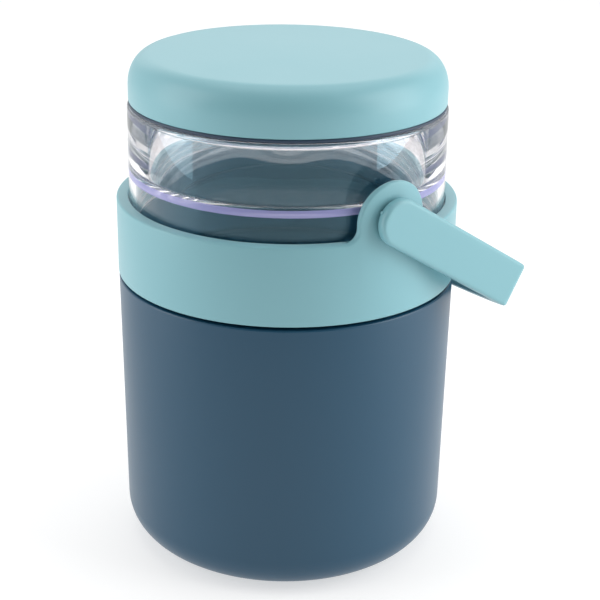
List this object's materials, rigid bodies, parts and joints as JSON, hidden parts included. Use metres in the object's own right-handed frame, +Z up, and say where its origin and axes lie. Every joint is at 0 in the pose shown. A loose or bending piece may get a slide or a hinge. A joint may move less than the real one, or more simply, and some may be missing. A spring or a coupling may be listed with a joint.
{
  "type": "two-compartment food jar",
  "caption": "Food jar with a threaded lower pot, a clear upper cup held by a screw collar, a push-on lid and a swinging bail handle.",
  "frame": {"origin": "centre of the flat base, on the jar's own axis", "axes": "+Z up along the jar's axis; the handle's pin axis is level and turned 35.6 degrees clockwise, seen from above, from -Y; the handle hangs towards +X and +Y"},
  "size_m": [0.1195, 0.1207, 0.1504],
  "materials": {
    "pot_plastic": "satin, moulded petrol blue",
    "mint_plastic": "satin, moulded mint",
    "clear_plastic": "clear, polished, with a faint lilac tint",
    "liner_plastic": "clear, polished",
    "seal_rubber": "milky silicone",
    "lid_rubber": "dark blue silicone"
  },
  "bodies": {
    "base": {"pot": "pot_plastic"},
    "cup_unit": {"cup": "clear_plastic", "neck_seal": "seal_rubber"},
    "collar_unit": {"collar": "mint_plastic"},
    "bail": {"handle": "mint_plastic", "pivot_pin_front": "mint_plastic", "pivot_pin_rear": "mint_plastic"},
    "lid": {"lid_shell": "mint_plastic", "lid_liner": "liner_plastic", "lid_seal": "lid_rubber"}
  },
  "joints": [
    {"name": "cup_lift", "type": "slide", "parent": "base", "child": "cup_unit", "axis": [0, 0, 1], "range_m": [0, 0.0092]},
    {"name": "collar_turn", "type": "hinge", "parent": "cup_unit", "child": "collar_unit", "pos_m": [0, 0, 0.0968], "axis": [0, 0, 1], "range_deg": [0, 320]},
    {"name": "handle_swing", "type": "hinge", "parent": "collar_unit", "child": "bail", "pos_m": [0, 0, 0.1131], "axis": [0.5821, -0.8131, 0], "range_deg": [0, 243.8]},
    {"name": "lid_lift", "type": "slide", "parent": "cup_unit", "child": "lid", "axis": [0, 0, 1], "range_m": [0, 0.04]}
  ],
  "couplings": [
    {"joint": "cup_lift", "follows": "collar_turn", "m_per_rad": 0.0015915}
  ]
}
